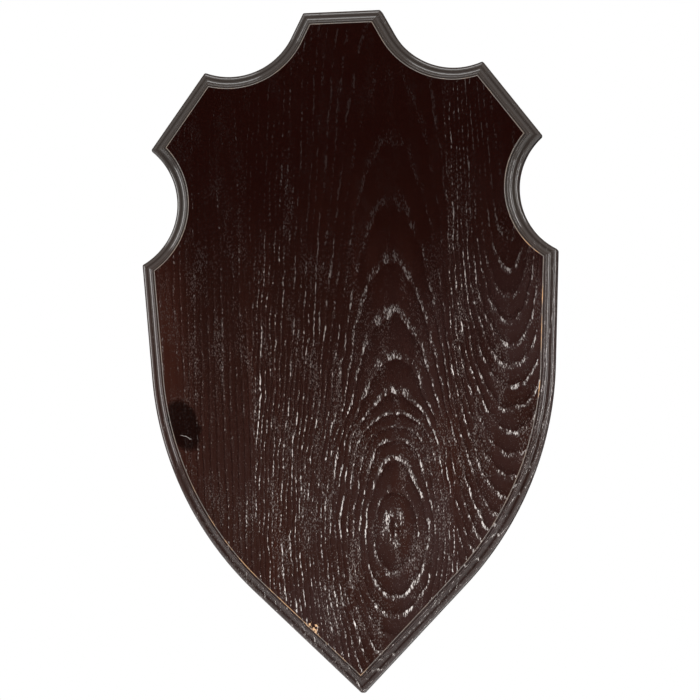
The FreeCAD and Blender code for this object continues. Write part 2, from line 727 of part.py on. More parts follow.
def add_thread(body, name):
    """Closed ridges, one for each turn of the thread."""
    crest, pitch = size("thread_radius"), size("thread_pitch")
    root = size("core_radius") - THREAD_ROOTING
    root_formula = f"Sheet.core_radius - {THREAD_ROOTING}"
    start = size("screw_point") - size("screw_length")
    start_formula = "Sheet.screw_point - Sheet.screw_length"
    ridge = new_sketch(body, f"{name}_ridge_half", "YZ_Plane")
    corners = {
        "foot": (0.0, root, root_formula),
        "crest": (RIDGE_SHARE / 2, crest, "Sheet.thread_radius"),
        "heel": (RIDGE_SHARE, root, root_formula),
    }
    points = [(start + share * pitch, out) for share, out, _ in corners.values()]
    lines = chain_lines(ridge, points)
    for line, point, (corner, (share, out, out_formula)) in zip(lines, points, corners.items()):
        fix_point(ridge, line, START, corner,
                  along=(point[0], f"{start_formula} + {share} * Sheet.thread_pitch"),
                  out=(out, out_formula))
    first_ridge = turn(body, ridge, f"{name}_ridge")

    volume_before = body.Shape.Volume
    thread = body.newObject("PartDesign::LinearPattern", f"{name}_thread")
    thread.Originals = [first_ridge]
    thread.Direction = (origin_plane(body, "Y_Axis"), [""])
    thread.setExpression("Length", "Sheet.thread_pitch * (Sheet.thread_turns - 1)")
    thread.setExpression("Occurrences", "Sheet.thread_turns")
    body.Tip = thread
    check_volume(thread, volume_before, grows=True)


def add_recess(body, name):
    """The cross recess: one slot, and the same slot a quarter turn round."""
    plan = new_sketch(body, f"{name}_recess_plan", "XZ_Plane")
    plan.setExpression("AttachmentOffset.Base.z", "-Sheet.head_height")
    wide, tall = size("recess_width") / 2, size("recess_length") / 2
    lines = chain_lines(plan, [(-wide, -tall), (wide, -tall), (wide, tall), (-wide, tall)])
    for line in (lines[0], lines[2]):
        constrain(plan, "Horizontal", line)
    for line in (lines[1], lines[3]):
        constrain(plan, "Vertical", line)
    constrain(plan, "Symmetric", lines[0], START, lines[1], END, *ORIGIN_POINT)
    constrain(plan, "DistanceX", lines[0], START, lines[0], END, 2 * wide,
              name="width", to="Sheet.recess_width")
    constrain(plan, "DistanceY", lines[1], START, lines[1], END, 2 * tall,
              name="length", to="Sheet.recess_length")
    volume_before = body.Shape.Volume
    slot = body.newObject("PartDesign::Pocket", f"{name}_slot")
    slot.Profile = plan
    slot.Reversed = True
    slot.setExpression("Length", "Sheet.recess_depth")
    check_volume(slot, volume_before, grows=False)

    volume_before = body.Shape.Volume
    cross = body.newObject("PartDesign::PolarPattern", f"{name}_cross")
    cross.Originals = [slot]
    cross.Axis = (origin_plane(body, "Y_Axis"), [""])
    cross.Angle = 90
    cross.Occurrences = 2
    body.Tip = cross
    check_volume(cross, volume_before, grows=False)


def make_screw(name, drop_alias):
    """A pan-head wood screw.  Its head rests on the strap and its shank runs towards -Y."""
    body = new_body(name)
    add_shank(body, name)
    add_head(body, name)
    add_thread(body, name)
    add_recess(body, name)
    body.setExpression("Placement.Base.y", "Sheet.strap_thickness")
    body.setExpression("Placement.Base.z", f"Sheet.pivot_height - Sheet.{drop_alias}")
    return body


def make_bumper(name, side):
    """A domed rubber disc stuck to the back, to hold the board off the wall."""
    body = new_body(name)
    sketch = new_sketch(body, f"{name}_half", "YZ_Plane")
    radius, rim = size("bumper_radius"), size("bumper_rim")
    top, flat = size("bumper_height"), size("bumper_flat_radius")
    centre_out = radius - (top - rim)
    base = add_line(sketch, (0, 0), (0, radius))
    edge = add_line(sketch, (0, radius), (rim, radius))
    dome = add_arc(sketch, (rim, centre_out), (top, flat), (rim, radius))
    crown = add_line(sketch, (top, flat), (top, 0))
    axis = add_line(sketch, (top, 0), (0, 0))
    constrain(sketch, "Coincident", base, END, edge, START)
    constrain(sketch, "Coincident", edge, END, dome, END)
    constrain(sketch, "Coincident", dome, START, crown, START)
    constrain(sketch, "Coincident", crown, END, axis, START)
    constrain(sketch, "Coincident", axis, END, base, START)
    constrain(sketch, "Coincident", base, START, *ORIGIN_POINT)
    for line in (base, crown):
        constrain(sketch, "Vertical", line)
    for line in (edge, axis):
        constrain(sketch, "Horizontal", line)
    fix_point(sketch, edge, END, "rim",
              along=(rim, "Sheet.bumper_rim"), out=(radius, "Sheet.bumper_radius"))
    fix_point(sketch, crown, START, "flat",
              along=(top, "Sheet.bumper_height"), out=(flat, "Sheet.bumper_flat_radius"))
    constrain(sketch, "DistanceX", edge, END, dome, CENTRE, 0.0)
    turn(body, sketch, f"{name}_disc")
    body.setExpression("Placement.Base.x", f"{side} * Sheet.bumper_half_spacing")
    body.setExpression("Placement.Base.z", "-Sheet.bumper_drop")
    return body


# ---------------------------------------------------------------------------
# Build, check and write
# ---------------------------------------------------------------------------

panel = make_panel()
subparts = make_staves(panel) + [
    make_strap(),
    make_ring(),
    make_screw("hanger_screw_upper", "upper_screw_drop"),
    make_screw("hanger_screw_lower", "lower_screw_drop"),
    make_bumper("wall_bumper_left", -1),
    make_bumper("wall_bumper_right", 1),
]
doc.recompute()

for thing in doc.Objects:
    if "Invalid" in thing.State or "Error" in thing.State:
        raise RuntimeError(f"{thing.Name} failed: {thing.State}")
for subpart in subparts:
    shape = subpart.Shape
    if shape.isNull() or not shape.isValid() or len(shape.Solids) != 1:
        raise RuntimeError(f"{subpart.Label} is not one valid solid")

os.makedirs("parts", exist_ok=True)
for subpart in subparts:
    subpart.Shape.exportStep(f"parts/{subpart.Label}.step")
    box = subpart.Shape.BoundBox
    print(f"{subpart.Label}: {subpart.Shape.Volume:.0f} mm3, "
          f"x {box.XMin:.1f} to {box.XMax:.1f}, y {box.YMin:.1f} to {box.YMax:.1f}, "
          f"z {box.ZMin:.1f} to {box.ZMax:.1f}")
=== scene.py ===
"""The looks of a shield-shaped oak plaque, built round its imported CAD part."""

import math

import bmesh
import bpy
from mathutils import Matrix, Vector


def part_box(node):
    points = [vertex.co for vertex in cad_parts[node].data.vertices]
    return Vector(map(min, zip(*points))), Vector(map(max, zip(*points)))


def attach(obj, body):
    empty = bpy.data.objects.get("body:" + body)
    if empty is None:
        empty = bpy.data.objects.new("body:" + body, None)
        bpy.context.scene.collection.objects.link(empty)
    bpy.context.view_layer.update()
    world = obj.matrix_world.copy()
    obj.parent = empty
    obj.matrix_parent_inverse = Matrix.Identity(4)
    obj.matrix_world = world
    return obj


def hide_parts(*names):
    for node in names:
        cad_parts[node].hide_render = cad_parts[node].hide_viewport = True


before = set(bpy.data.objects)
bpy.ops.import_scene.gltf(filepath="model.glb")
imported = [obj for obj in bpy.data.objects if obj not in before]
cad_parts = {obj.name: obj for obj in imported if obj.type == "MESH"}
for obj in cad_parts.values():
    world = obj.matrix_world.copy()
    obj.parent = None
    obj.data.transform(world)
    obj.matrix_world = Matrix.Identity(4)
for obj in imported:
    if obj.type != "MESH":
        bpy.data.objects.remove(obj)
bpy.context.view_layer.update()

MM = 0.001

# ---------------------------------------------------------------------------
# The board's outline, in millimetres: x from the centre line, z from half way up.  It is run
# clockwise as the front is seen, so the wood is on the right of every stretch.
# ---------------------------------------------------------------------------

HALF_HEIGHT = round(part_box("stave_centre")[1].z / MM, 3)
THICKNESS = round(-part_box("stave_centre")[0].y / MM, 3)
GLUE_LINE = round(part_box("stave_right")[0].x / MM, 3)

TOP_CORNER = Vector((25.6, HALF_HEIGHT))
SHOULDER = Vector((92.2, HALF_HEIGHT - 36.8))
HORN = Vector((129.8, HALF_HEIGHT - 87.2))
FLANK = Vector((137.5, HALF_HEIGHT - 162.7))
TIP = Vector((0.0, -HALF_HEIGHT))
NECK_SLOPE = -27.8  # degrees from the vertical, leaning outwards
FLANK_SLOPE = 3.25
TIP_SLOPE = 45.0
NECK_RADIUS = 46.0
SCALLOP_RADIUS = 45.5
BELLY_RADIUS = 219.5
CORNER_ROUND = 2.0

STATION_STEP = 1.2  # spacing of the mesh along the outline
CORNER_STEP = 0.25  # the same within a corner's rounding
CORNER_REACH = 2.5


def downward(slope):
    """The direction of a line that runs down at a slope from the vertical."""
    angle = math.radians(slope)
    return Vector((-math.sin(angle), -math.cos(angle)))


class Straight:
    """A straight stretch of the outline."""

    def __init__(self, start, end):
        self.start = start
        self.end = end
        self.along = (end - start).normalized()
        self.inward = Vector((self.along.y, -self.along.x))
        self.length = (end - start).length

    def inward_at(self, point):
        return self.inward

    def between(self, first, last, share):
        return first.lerp(last, share)


class Arc:
    """A round stretch.  A hollow one has its centre outside the wood."""

    def __init__(self, centre, start, end, hollow):
        self.centre = centre
        self.start = start
        self.end = end
        self.hollow = hollow
        self.radius = (start - centre).length
        self.length = self.radius * abs(self.sweep(start, end))

    def sweep(self, first, last):
        a, b = first - self.centre, last - self.centre
        return math.atan2(a.cross(b), a.dot(b))

    def radius_at(self, inset):
        return self.radius + inset if self.hollow else self.radius - inset

    def inward_at(self, point):
        outwards = (point - self.centre).normalized()
        return outwards if self.hollow else -outwards

    def between(self, first, last, share):
        spoke = first - self.centre
        spoke.rotate(Matrix.Rotation(self.sweep(first, last) * share, 2))
        return self.centre + spoke


def line_and_circle(point, along, centre, radius, near):
    """Where a line crosses a circle, at the crossing nearer to a point."""
    middle = (centre - point).dot(along)
    foot = point + along * middle
    reach = math.sqrt(radius**2 - (foot - centre).length_squared)
    return min((foot + along * reach, foot - along * reach), key=lambda p: (p - near).length)


def arc_through(first, last, radius):
    """The hollow arc between two points; its centre is on the outer, left hand side."""
    half = (last - first) / 2
    outward = Vector((-half.y, half.x)).normalized()
    centre = first + half + outward * math.sqrt(radius**2 - half.length_squared)
    return Arc(centre, first, last, hollow=True)


def neck_stretches():
    """The neck line, and the hollow that it runs smoothly into."""
    along = downward(NECK_SLOPE)
    outward = Vector((-along.y, along.x))
    centre = line_and_circle(TOP_CORNER + outward * NECK_RADIUS, along, SHOULDER, NECK_RADIUS,
                             near=TOP_CORNER + outward * NECK_RADIUS)
    touch = centre - outward * NECK_RADIUS
    return [Straight(TOP_CORNER, touch), Arc(centre, touch, SHOULDER, hollow=True)]


def belly_stretches():
    """The flank, the belly and the line to the tip, each running smoothly into the next."""
    flank, tip = downward(FLANK_SLOPE), downward(TIP_SLOPE)
    into_flank, into_tip = Vector((flank.y, -flank.x)), Vector((tip.y, -tip.x))
    above = FLANK + into_flank * BELLY_RADIUS
    below = TIP + into_tip * BELLY_RADIUS
    centre = above + flank * ((below - above).cross(tip) / flank.cross(tip))
    upper_touch = centre - into_flank * BELLY_RADIUS
    lower_touch = centre - into_tip * BELLY_RADIUS
    return [
        Straight(FLANK, upper_touch),
        Arc(centre, upper_touch, lower_touch, hollow=False),
        Straight(lower_touch, TIP),
    ]


RIGHT_SIDE = [
    Straight(Vector((0.0, HALF_HEIGHT)), TOP_CORNER),
    *neck_stretches(),
    Straight(SHOULDER, HORN),
    arc_through(HORN, FLANK, SCALLOP_RADIUS),
    *belly_stretches(),
]
LEFT_OF_TIP = Straight(TIP, Vector((-RIGHT_SIDE[-1].start.x, RIGHT_SIDE[-1].start.y)))


def crossing(first, second, inset):
    """Where two stretches meet once both are moved in from the edge."""
    corner = first.end
    if (first.inward_at(corner) - second.inward_at(corner)).length < 0.01:
        return corner + first.inward_at(corner) * inset
    line, other = (first, second) if isinstance(first, Straight) else (second, first)
    point = line.start + line.inward * inset
    if isinstance(other, Arc):
        return line_and_circle(point, line.along, other.centre, other.radius_at(inset), corner)
    other_point = other.start + other.inward * inset
    share = (other_point - point).cross(other.along) / line.along.cross(other.along)
    return point + line.along * share


def stations(stretch):
    """Shares of a stretch's length at which the mesh has points, closer near its ends."""
    length = stretch.length
    fine = [i * CORNER_STEP for i in range(int(CORNER_REACH / CORNER_STEP) + 1)]
    coarse_count = max(2, round((length - 2 * CORNER_REACH) / STATION_STEP))
    step = (length - 2 * CORNER_REACH) / coarse_count
    coarse = [CORNER_REACH + i * step for i in range(1, coarse_count)]
    distances = fine + coarse + [length - d for d in reversed(fine)]
    return [d / length for d in distances]


def rounded_corner(point, rounds):
    """Brings a point that lies outside a corner's rounding back onto it."""
    for centre, first_out, second_out in rounds:
        spoke = point - centre
        if not CORNER_ROUND < spoke.length < 2 * CORNER_ROUND:
            continue
        if first_out.cross(spoke) <= 0 and spoke.cross(second_out) <= 0:
            return centre + spoke.normalized() * CORNER_ROUND
    return point


def corner_rounds():
    """Each sharp corner's rounding: its centre, and the outward directions either side."""
    following = RIGHT_SIDE[1:] + [LEFT_OF_TIP]
    rounds = []
    for first, second in zip(RIGHT_SIDE, following):
        outs = [-s.inward_at(first.end) for s in (first, second)]
        if (outs[0] - outs[1]).length < 0.01:
            continue
        centre = crossing(first, second, CORNER_ROUND)
        rounds.append((centre, -first.inward_at(centre), -second.inward_at(centre)))
    return rounds


def outline_at(inset):
    """The closed outline moved in by a distance, as points clockwise from the top's middle."""
    rounds = corner_rounds()
    right = []
    begin = Vector((0.0, HALF_HEIGHT - inset))
    for stretch, following in zip(RIGHT_SIDE, RIGHT_SIDE[1:] + [LEFT_OF_TIP]):
        finish = crossing(stretch, following, inset)
        shares = stations(stretch)[1:] if right else stations(stretch)
        right += [stretch.between(begin, finish, share) for share in shares]
        begin = finish
    right = [rounded_corner(point, rounds) for point in right]
    left = [Vector((-p.x, p.y)) for p in reversed(right[1:-1])]
    return right + left


# ---------------------------------------------------------------------------
# The moulding's section, in millimetres: distance in from the edge, depth below the face
# ---------------------------------------------------------------------------

ROLL_RADIUS = 2.9
ROLL_DEPTH = 9.0
CREST_WIDTH = 0.4
COVE_RADIUS = 3.2
BEAD_RADIUS = 0.75
BEAD_DEPTH = 1.55
LEDGE_WIDTH = 0.95
STEP_LEAN = 0.09
BACK_ROUND = 0.5
ARRIS_ROUND = 0.3
VALLEY_ROUND = 0.2
FACE_MARGIN = 0.35  # a narrow flat strip round the face, so its arris shades cleanly


def quarter_turn(centre, radius, start, steps):
    """Section points on a quarter circle, clockwise from a start angle in degrees."""
    points = []
    for i in range(steps + 1):
        angle = math.radians(start - 90.0 * i / steps)
        points.append((centre[0] + radius * math.cos(angle), centre[1] - radius * math.sin(angle)))
    return points


def upturned(centre, radius, start, steps):
    """The same, anticlockwise."""
    return list(reversed(quarter_turn(centre, radius, start + 90.0, steps)))


def moulding_section():
    """From the back face, up the side and over the moulding to the front face."""
    crest_in = ROLL_RADIUS
    cove_in = crest_in + CREST_WIDTH
    riser_in = cove_in + COVE_RADIUS
    crest_depth = ROLL_DEPTH - ROLL_RADIUS
    cove_depth = crest_depth - COVE_RADIUS
    bead_in = riser_in + BEAD_RADIUS
    foot_depth = BEAD_DEPTH + BEAD_RADIUS
    step_in = bead_in + LEDGE_WIDTH
    face_in = step_in + STEP_LEAN
    side_steps = 3
    side_top, side_bottom = ROLL_DEPTH, THICKNESS - BACK_ROUND

    points = upturned((BACK_ROUND, side_bottom), BACK_ROUND, -180.0, 3)[::-1]
    for i in range(1, side_steps):
        points.append((0.0, side_bottom + (side_top - side_bottom) * i / side_steps))
    points += quarter_turn((crest_in, ROLL_DEPTH), ROLL_RADIUS, 180.0, 12)
    points += upturned((cove_in, cove_depth), COVE_RADIUS, -90.0, 14)
    points += quarter_turn((bead_in, foot_depth), BEAD_RADIUS, 180.0, 8)
    points += upturned((step_in - VALLEY_ROUND, BEAD_DEPTH - VALLEY_ROUND), VALLEY_ROUND, -90.0, 3)
    points += quarter_turn((face_in + ARRIS_ROUND, ARRIS_ROUND), ARRIS_ROUND, 180.0, 4)
    points.append((face_in + ARRIS_ROUND + FACE_MARGIN, 0.0))
    return points


# ---------------------------------------------------------------------------
# The staves' meshes
# ---------------------------------------------------------------------------

SHARP_ANGLE = math.radians(28.0)


def board_mesh():
    """The whole moulded board as one closed mesh, with its section coordinates stored."""
    section = moulding_section()
    mesh = bmesh.new()
    inset_layer = mesh.verts.layers.float.new("inset_mm")
    depth_layer = mesh.verts.layers.float.new("depth_mm")
    rings = []
    for inset, depth in section:
        ring = []
        for point in outline_at(inset):
            place = Vector((point.x, depth - THICKNESS, point.y)) * MM
            vertex = mesh.verts.new(place)
            vertex[inset_layer] = inset
            vertex[depth_layer] = depth
            ring.append(vertex)
        rings.append(ring)
    for outer, inner in zip(rings, rings[1:]):
        count = len(outer)
        for i in range(count):
            j = (i + 1) % count
            mesh.faces.new((outer[i], outer[j], inner[j], inner[i]))
    mesh.faces.new(rings[0])
    mesh.faces.new(list(reversed(rings[-1])))
    bmesh.ops.recalc_face_normals(mesh, faces=mesh.faces)
    return mesh


def cut_at(mesh, x, keep_above):
    """Cuts a mesh on an upright plane, keeps one side and closes it with a flat face."""
    direction = -1.0 if keep_above else 1.0
    geometry = list(mesh.verts) + list(mesh.edges) + list(mesh.faces)
    bmesh.ops.bisect_plane(mesh, geom=geometry, dist=1e-7, plane_co=(x * MM, 0, 0),
                           plane_no=(direction, 0, 0), clear_outer=True)
    rim = [edge for edge in mesh.edges if edge.is_boundary]
    bmesh.ops.holes_fill(mesh, edges=rim, sides=0)


def finish_mesh(mesh):
    """Smooth shading, broken at the mouldings' creases and round every flat face."""
    mesh.normal_update()
    for face in mesh.faces:
        face.smooth = len(face.verts) <= 4
    for edge in mesh.edges:
        faces = edge.link_faces
        if len(faces) == 2 and faces[0].normal.angle(faces[1].normal, 0.0) > SHARP_ANGLE:
            edge.smooth = False


def make_stave(board, name, low_x, high_x, material):
    """One stave, cut out of the board between two upright planes."""
    mesh = board.copy()
    if low_x is not None:
        cut_at(mesh, low_x, keep_above=True)
    if high_x is not None:
        cut_at(mesh, high_x, keep_above=False)
    finish_mesh(mesh)
    data = bpy.data.meshes.new(f"{name}_wood")
    mesh.to_mesh(data)
    mesh.free()
    data.materials.append(material)
    stave = bpy.data.objects.new(f"{name}_wood", data)
    bpy.context.scene.collection.objects.link(stave)
    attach(stave, "plaque")
    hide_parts(name)
    return stave


# ---------------------------------------------------------------------------
# Building materials
# ---------------------------------------------------------------------------


class Look:
    """A material's nodes.  Each method adds a node and returns what comes out of it."""

    def __init__(self, name):
        self.material = bpy.data.materials.new(name)
        self.material.use_nodes = True
        self.tree = self.material.node_tree
        self.tree.nodes.clear()
        places = self.add("ShaderNodeTexCoord", output="Object")
        self.place = self.vector("SCALE", places, scale=1 / MM)
        self.split = self.tree.nodes.new("ShaderNodeSeparateXYZ")
        self.tree.links.new(self.place, self.split.inputs[0])
        self.x, self.y, self.z = self.split.outputs

    def put(self, socket, value):
        if isinstance(value, bpy.types.NodeSocket):
            self.tree.links.new(value, socket)
        else:
            socket.default_value = value

    def add(self, kind, inputs=None, output=0, **settings):
        node = self.tree.nodes.new(kind)
        for name, value in settings.items():
            setattr(node, name, value)
        for name, value in (inputs or {}).items():
            self.put(node.inputs[name], value)
        return node.outputs[output]

    def vector(self, operation, value, scale):
        return self.add("ShaderNodeVectorMath", {0: value, "Scale": scale}, operation=operation)

    def math(self, operation, *values):
        return self.add("ShaderNodeMath", dict(enumerate(values)), operation=operation)

    def plus(self, a, b):
        return self.math("ADD", a, b)

    def minus(self, a, b):
        return self.math("SUBTRACT", a, b)

    def times(self, *values):
        result = values[0]
        for value in values[1:]:
            result = self.math("MULTIPLY", result, value)
        return result

    def span(self, value, low, high, to_low=0.0, to_high=1.0):
        """Runs smoothly from one number to another while a value goes from low to high."""
        inputs = {"Value": value, "From Min": low, "From Max": high,
                  "To Min": to_low, "To Max": to_high}
        return self.add("ShaderNodeMapRange", inputs, interpolation_type="SMOOTHSTEP")

    def cells(self, across, along):
        """Position in units of a grain feature's size, which is longer along the board."""
        stretch = (1 / across, 1 / across, 1 / along)
        return self.add("ShaderNodeVectorMath", {0: self.place, 1: stretch}, operation="MULTIPLY")

    def noise(self, across, along, detail=2.0, roughness=0.5):
        inputs = {"Vector": self.cells(across, along), "Scale": 1.0,
                  "Detail": detail, "Roughness": roughness}
        return self.add("ShaderNodeTexNoise", inputs)

    def sway(self, across, along, reach):
        """A slow noise about zero."""
        return self.times(self.minus(self.noise(across, along), 0.5), 2 * reach)

    def curve(self, value, points, low, high, top):
        """A smooth curve through points (value, result), results from 0 to top."""
        node = self.tree.nodes.new("ShaderNodeFloatCurve")
        line = node.mapping.curves[0]
        while len(line.points) < len(points):
            line.points.new(0.5, 0.5)
        for point, (place, result) in zip(line.points, points):
            point.location = ((place - low) / (high - low), result / top)
        node.mapping.update()
        share = self.math("DIVIDE", self.minus(value, low), high - low)
        self.put(node.inputs["Value"], share)
        return self.times(node.outputs[0], top)

    def blend(self, a, b, share):
        """Between two colours."""
        return self.add("ShaderNodeMix", {0: share, 6: a, 7: b}, output=2, data_type="RGBA")

    def surface(self, inputs):
        shader = self.add("ShaderNodeBsdfPrincipled", inputs)
        finish = self.tree.nodes.new("ShaderNodeOutputMaterial")
        self.put(finish.inputs["Surface"], shader)
        return self.material

    def bump(self, height, distance, strength=1.0):
        inputs = {"Height": height, "Distance": distance, "Strength": strength}
        return self.add("ShaderNodeBump", inputs)


# ---------------------------------------------------------------------------
# The oak: growth rings cut by the face, and pores along the grain that crowd in each ring.
# Lengths are in millimetres, and places on the face are (x, z).
# ---------------------------------------------------------------------------

DARK_STAIN = (0.0058, 0.0010, 0.0006, 1.0)
LIGHT_STAIN = (0.0172, 0.0060, 0.0042, 1.0)
RED_STAIN = (0.0230, 0.0068, 0.0044, 1.0)
# Painted reflection: the grey haze that the lacquer's gloss shows low on the right of the face.
PAINTED_REFLECTION_HAZE = (0.0250, 0.0132, 0.0125, 1.0)
SMUDGE = (0.0026, 0.0006, 0.0004, 1.0)
# Painted reflection: the grey sheen of the lacquered moulding, stronger towards the top.
PAINTED_MOULDING_SHEEN = (0.045, 0.039, 0.034, 1.0)
# Painted highlight: the bright line that the rounded arris catches from the side lights.
PAINTED_ARRIS_HIGHLIGHT = (0.200, 0.182, 0.165, 1.0)
PORE_GREY = (0.175, 0.148, 0.138, 1.0)
PORE_PALE = (0.560, 0.515, 0.495, 1.0)
RAW_EDGE = (0.420, 0.235, 0.105, 1.0)
RAW_OAK = (0.720, 0.450, 0.260, 1.0)
BACK_STAIN = (0.050, 0.026, 0.018, 1.0)
BACK_LIGHT = (0.085, 0.047, 0.030, 1.0)

# How far the centre of the growth rings lies in front of each stave, at heights up the board.
CENTRE_STAVE_DEPTHS = [
    (-230.0, 43.0), (-180.0, 33.0), (-147.0, 26.4), (-115.0, 23.2), (-91.0, 26.4), (-69.0, 29.6),
    (-56.0, 32.8), (-47.0, 36.0), (-35.0, 39.2), (-11.0, 42.4), (21.0, 45.6), (90.0, 51.0),
    (230.0, 60.0),
]
RIGHT_STAVE_DEPTHS = [
    (-230.0, 68.0), (-46.0, 34.3), (37.0, 19.3), (85.0, 13.5), (130.0, 11.0), (230.0, 9.0),
]
DEPTH_TOP = 80.0
HEIGHT_LOW, HEIGHT_HIGH = -230.0, 230.0
RING_SQUARENESS = 2.4  # 2 for round rings; more makes the arches blunter
CENTRE_RINGS = {"axis_x": 28.0, "lean": 0.02, "smallest": 23.2, "spacing": 2.8}
RIGHT_RINGS = {"axis_x": 105.0, "lean": 0.0, "smallest": 9.0, "spacing": 2.7}
LEFT_RING_SPACING = 4.4

COARSE_PORE = (0.46, 2.3)  # width and length of the cell that each pore lies in
FINE_PORE = (0.45, 1.6)
COARSE_PORE_SIZE = 0.62
FINE_PORE_SIZE = 0.10
FINE_PORE_GAIN = 0.24  # how much more in the dense patches
PORE_EDGE = 0.07
GROOVE_DEPTH = 0.00016
LACQUER_DEPTH = 0.00010

ARRIS_IN = 8.5  # where the arris round the face lies, in from the edge
MOULDING_IN = 8.3  # where the moulding ends
SIDE_DEPTH = 10.0  # below the face; the sides are duller from here on

OVAL_SIDE = (1.0, -127.0)  # patches where the pores show most
OVAL_FOOT = (6.0, -172.0)
SMUDGE_PLACE = (-112.0, -45.0)
SCRATCH_PLACE = (-110.0, -53.0)
CHIPS_PLACE = (-31.0, -181.0)


def arched_rings(look, depths, axis_x, lean, smallest, spacing):
    """Ring count where the board is cut near the heart: arches and an oval."""
    axis = look.plus(look.times(look.z, lean), axis_x)
    sideways = look.minus(look.plus(look.x, look.sway(26.0, 95.0, 4.0)), axis)
    sideways = look.math("ABSOLUTE", look.plus(sideways, look.sway(7.0, 16.0, 1.8)))
    depth = look.curve(look.z, depths, HEIGHT_LOW, HEIGHT_HIGH, DEPTH_TOP)
    depth = look.plus(look.plus(depth, look.y), THICKNESS)
    depth = look.plus(depth, look.sway(4.5, 13.0, 0.6))
    powers = [look.math("POWER", part, RING_SQUARENESS) for part in (sideways, depth)]
    reach = look.math("POWER", look.plus(*powers), 1.0 / RING_SQUARENESS)
    return look.math("DIVIDE", look.minus(reach, smallest), spacing)


def straight_rings(look, spacing):
    """Ring count where the board is cut on the quarter: upright lines."""
    across = look.plus(look.x, look.times(look.y, 0.35))
    across = look.plus(across, look.sway(30.0, 140.0, 6.0))
    across = look.plus(across, look.sway(4.0, 30.0, 0.7))
    return look.math("DIVIDE", across, spacing)


def pores(look, cell, size):
    """Short grooves along the grain, one in each cell, and each cell's own chance number."""
    voronoi = look.tree.nodes.new("ShaderNodeTexVoronoi")
    voronoi.inputs["Randomness"].default_value = 0.9
    voronoi.inputs["Scale"].default_value = 1.0
    look.put(voronoi.inputs["Vector"], look.cells(*cell))
    chance = look.add("ShaderNodeSeparateColor", {0: voronoi.outputs["Color"]})
    own_size = look.times(size, look.span(chance, 0.0, 1.0, 0.35, 1.25))
    edge = look.plus(own_size, PORE_EDGE)
    return look.span(voronoi.outputs["Distance"], own_size, edge, 1.0, 0.0), chance


def patch(look, centre, half_width, half_height, lean, edge):
    """A soft-edged, slightly ragged patch of the face."""
    dx = look.minus(look.x, centre[0])
    dz = look.minus(look.z, centre[1])
    dx = look.plus(dx, look.times(dz, lean))
    u = look.math("DIVIDE", look.plus(dx, look.sway(7.0, 7.0, 3.0)), half_width)
    v = look.math("DIVIDE", dz, half_height)
    reach = look.math("SQRT", look.plus(look.times(u, u), look.times(v, v)))
    return look.span(reach, 1.0 - edge, 1.0, 1.0, 0.0)


class Grain:
    """What the growth rings and pores of one stave give at each point, from 0 to 1."""

    def __init__(self, look, rings, ring_share):
        self.place_in_ring = look.math("FRACT", rings)
        ring_number = look.math("FLOOR", rings)
        chance = look.add("ShaderNodeTexWhiteNoise", {"W": ring_number}, noise_dimensions="1D")
        self.early = look.times(look.span(self.place_in_ring, 0.12, 0.38, 1.0, 0.0),
                                look.span(self.place_in_ring, 0.0, 0.05))
        crowd = look.times(self.early, look.span(chance, 0.0, 1.0, 0.5, 1.0), ring_share)
        patchy = look.span(look.noise(3.5, 11.0), 0.36, 0.62, 0.15, 1.0)
        self.lines = look.times(crowd, patchy)
        self.coarse, self.coarse_chance = pores(look, COARSE_PORE,
                                                look.times(self.lines, COARSE_PORE_SIZE))
        dense = look.span(look.noise(9.0, 40.0), 0.42, 0.68)
        fine_size = look.plus(look.times(dense, FINE_PORE_GAIN), FINE_PORE_SIZE)
        self.fine, self.fine_chance = pores(look, FINE_PORE, fine_size)
        self.grooves = look.plus(look.times(self.coarse, -1.0), look.times(self.fine, -0.45))


def stain_and_painted_haze(look, grain):
    """Stain colour, lighter towards the foot and redder in streaks, with a painted grey reflection
    haze low on the right.
    """
    low_down = look.span(look.plus(look.z, look.sway(60.0, 80.0, 40.0)), 150.0, -150.0)
    stain_and_sheen = look.blend(DARK_STAIN, LIGHT_STAIN, low_down)
    streaks = look.span(look.noise(14.0, 120.0), 0.50, 0.75, 0.0, 0.6)
    stain_and_sheen = look.blend(stain_and_sheen, RED_STAIN, look.times(streaks, low_down))
    # Painted reflection: a grey haze, strongest low on the right, stands in for the lacquer's gloss
    # reflection.
    haze_reach = look.span(look.minus(look.x, look.z), -60.0, 230.0, 0.0, 0.8)
    uneven = look.span(look.noise(40.0, 60.0), 0.3, 0.7)
    stain_and_sheen = look.blend(stain_and_sheen, PAINTED_REFLECTION_HAZE, look.times(haze_reach, uneven))
    late = look.span(grain.place_in_ring, 0.55, 0.98, 0.0, 0.35)
    return look.blend(stain_and_sheen, DARK_STAIN, late)


def with_pores(look, grain, stain_and_sheen, lively):
    """Pale pores and fibres over the base colour, which holds a painted reflection haze, as strong as
    lively says.
    """
    fibre = look.span(look.noise(0.35, 4.0, detail=3.0), 0.42, 0.66)
    bands = look.plus(look.times(grain.lines, 0.38), 0.02)
    colour = look.blend(stain_and_sheen, PORE_GREY, look.times(fibre, bands, lively))
    fine_brightness = look.span(grain.fine_chance, 0.0, 1.0, 0.0, 0.75)
    colour = look.blend(colour, PORE_GREY, look.times(grain.fine, fine_brightness, lively))
    coarse_brightness = look.span(grain.coarse_chance, 0.0, 1.0, 0.45, 1.0)
    return look.blend(colour, PORE_PALE, look.times(grain.coarse, coarse_brightness, lively))


